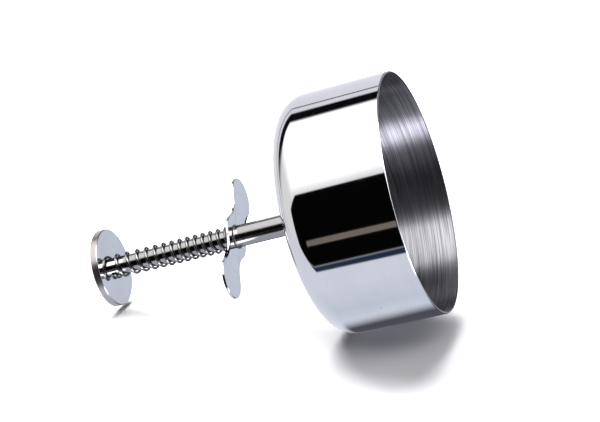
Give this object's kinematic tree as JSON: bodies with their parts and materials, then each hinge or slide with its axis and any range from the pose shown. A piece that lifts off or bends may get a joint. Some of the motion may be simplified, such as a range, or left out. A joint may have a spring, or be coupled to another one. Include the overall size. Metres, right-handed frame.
{
  "type": "ejector food mould",
  "caption": "Round deep-drawn food mould with a spring-return plunger, winged finger grip, thumb disc and ejector plate that pushes the portion out of the cup.",
  "frame": {"origin": "centre of the cup's open mouth, in the plane of its rim, which is the face the mould stands on", "axes": "+Z along the common axis of cup, tube and plunger, from the mouth to the thumb disc; +X along the long axis of the finger grip"},
  "size_m": [0.087, 0.087, 0.1222],
  "materials": {
    "cup_steel": "deep-drawn stainless steel, mirror polished outside, brushed round inside",
    "tube_steel": "drawn stainless tube, bright polished",
    "flange_steel": "stamped stainless washer, tumbled",
    "braze_metal": "silver braze, as flowed",
    "grip_steel": "blanked stainless sheet, buffed, tumbled edges",
    "rod_steel": "ground and polished stainless bar",
    "disc_steel": "turned stainless, buffed faces, brushed rim",
    "plate_steel": "pressed stainless sheet, brushed round",
    "fastener_steel": "stamped stainless, tumbled",
    "spring_wire": "bright drawn stainless spring wire"
  },
  "bodies": {
    "mould": {"mould_cup": "cup_steel", "guide_tube": "tube_steel", "tube_flange": "flange_steel", "base_braze": "braze_metal", "finger_grip": "grip_steel", "grip_braze": "braze_metal", "return_spring": "spring_wire"},
    "plunger": {"push_rod": "rod_steel", "thumb_disc": "disc_steel", "ejector_plate": "plate_steel", "plate_washer": "fastener_steel", "plate_screw": "fastener_steel"}
  },
  "joints": [
    {"name": "plunger_slide", "type": "slide", "parent": "mould", "child": "plunger", "axis": [0, 0, -1], "range_m": [0, 0.03], "stiffness_N_per_m": 1150, "springref_m": -0.005, "deforming": ["return_spring"]}
  ]
}
